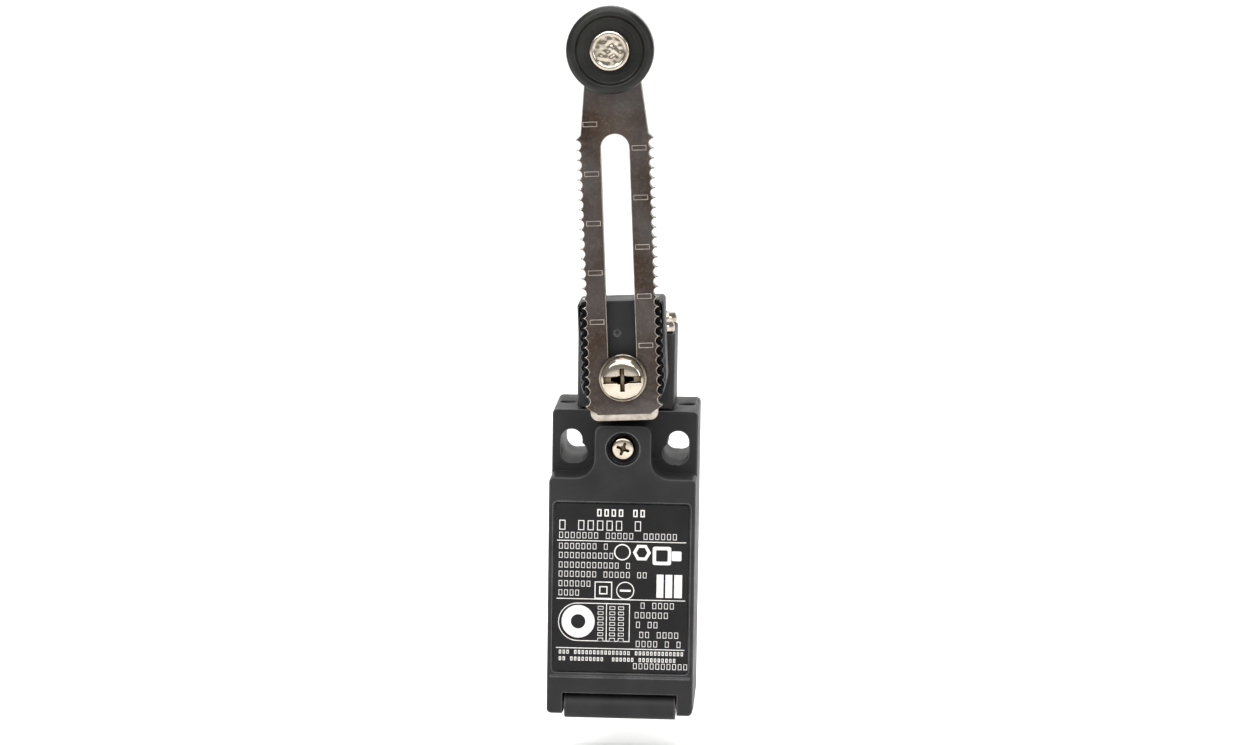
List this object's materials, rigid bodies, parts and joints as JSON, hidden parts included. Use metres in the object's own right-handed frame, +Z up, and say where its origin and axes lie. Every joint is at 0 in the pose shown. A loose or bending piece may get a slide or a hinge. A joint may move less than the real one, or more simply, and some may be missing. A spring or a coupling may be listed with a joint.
{
  "type": "limit switch",
  "caption": "Limit switch with an adjustable toothed roller lever on a sprung side shaft, a square screwed head, slotted mounting ears, a hinged front cover and a bottom conduit opening.",
  "frame": {"origin": "on the mounting plane at the back, midway between the two mounting slots", "axes": "+X to the right seen from the front, +Y out of the back face, +Z up towards the head and lever"},
  "size_m": [0.03, 0.0412, 0.1471],
  "materials": {
    "black_resin": "moulded, satin, fine even grain",
    "grey_resin": "moulded, satin",
    "roller_resin": "turned and worn smooth, satin",
    "seal_rubber": "moulded nitrile rubber, matt",
    "label_film": null,
    "lever_steel": "stamped steel, dark plating, brushed along its length",
    "bright_nickel": "bright nickel plating",
    "plain_steel": "turned steel",
    "spring_steel": "drawn spring wire",
    "bronze": "sintered bearing bronze",
    "brass": "stamped brass"
  },
  "bodies": {
    "case": {"case_body": "black_resin", "head_case": "black_resin", "head_seal": "seal_rubber", "head_screw_1": "bright_nickel", "head_screw_2": "bright_nickel", "head_screw_3": "bright_nickel", "head_screw_4": "bright_nickel", "shaft_seal": "seal_rubber", "shaft_bush": "bronze", "return_spring": "spring_steel", "switch_case": "grey_resin", "switch_lid": "grey_resin", "carrier_spring": "spring_steel", "terminal_1": "brass", "terminal_2": "brass", "terminal_3": "brass", "terminal_4": "brass", "terminal_saddle_1": "bright_nickel", "terminal_saddle_2": "bright_nickel", "terminal_saddle_3": "bright_nickel", "terminal_saddle_4": "bright_nickel", "terminal_screw_1": "bright_nickel", "terminal_screw_2": "bright_nickel", "terminal_screw_3": "bright_nickel", "terminal_screw_4": "bright_nickel", "hinge_pin": "plain_steel"},
    "cover": {"cover": "black_resin", "cover_seal": "seal_rubber", "name_plate": "label_film", "cover_screw": "bright_nickel", "cover_screw_clip": "spring_steel"},
    "shaft": {"shaft": "plain_steel", "cam": "plain_steel", "cam_pin": "plain_steel", "lever_holder": "black_resin", "lever_washer": "bright_nickel", "lever_screw": "bright_nickel"},
    "lever": {"lever_plate": "lever_steel", "roller_pin": "bright_nickel", "roller_washer": "plain_steel"},
    "roller": {"roller": "roller_resin"},
    "head_plunger": {"head_plunger": "grey_resin"},
    "contacts": {"contact_carrier": "grey_resin", "closed_bridge": "brass", "open_bridge": "brass", "closed_bridge_spring": "spring_steel", "open_bridge_spring": "spring_steel"}
  },
  "joints": [
    {"name": "lever_swing", "type": "hinge", "parent": "case", "child": "shaft", "pos_m": [0, -0.0213, 0.0162], "axis": [0, 1, 0], "range_deg": [-75, 75], "stiffness_Nm_per_rad": 0.1},
    {"name": "lever_slide", "type": "slide", "parent": "shaft", "child": "lever", "axis": [-0.0489, 0, 0.9988], "range_m": [-0.046, 0]},
    {"name": "roller_spin", "type": "hinge", "parent": "lever", "child": "roller", "pos_m": [-0.00324, -0.0365, 0.08252], "axis": [0, 1, 0], "continuous": true},
    {"name": "cover_hinge", "type": "hinge", "parent": "case", "child": "cover", "pos_m": [0, -0.0269, -0.0531], "axis": [1, 0, 0], "range_deg": [0, 100]},
    {"name": "plunger_slide", "type": "slide", "parent": "case", "child": "head_plunger", "axis": [0, 0, -1], "range_m": [0, 0.0025], "stiffness_N_per_m": 800, "deforming": ["return_spring"]},
    {"name": "contact_slide", "type": "slide", "parent": "case", "child": "contacts", "axis": [0, 0, -1], "range_m": [0, 0.0025], "stiffness_N_per_m": 200, "deforming": ["carrier_spring"]}
  ],
  "couplings": [
    {"joint": "contact_slide", "follows": "plunger_slide", "ratio": 1}
  ]
}
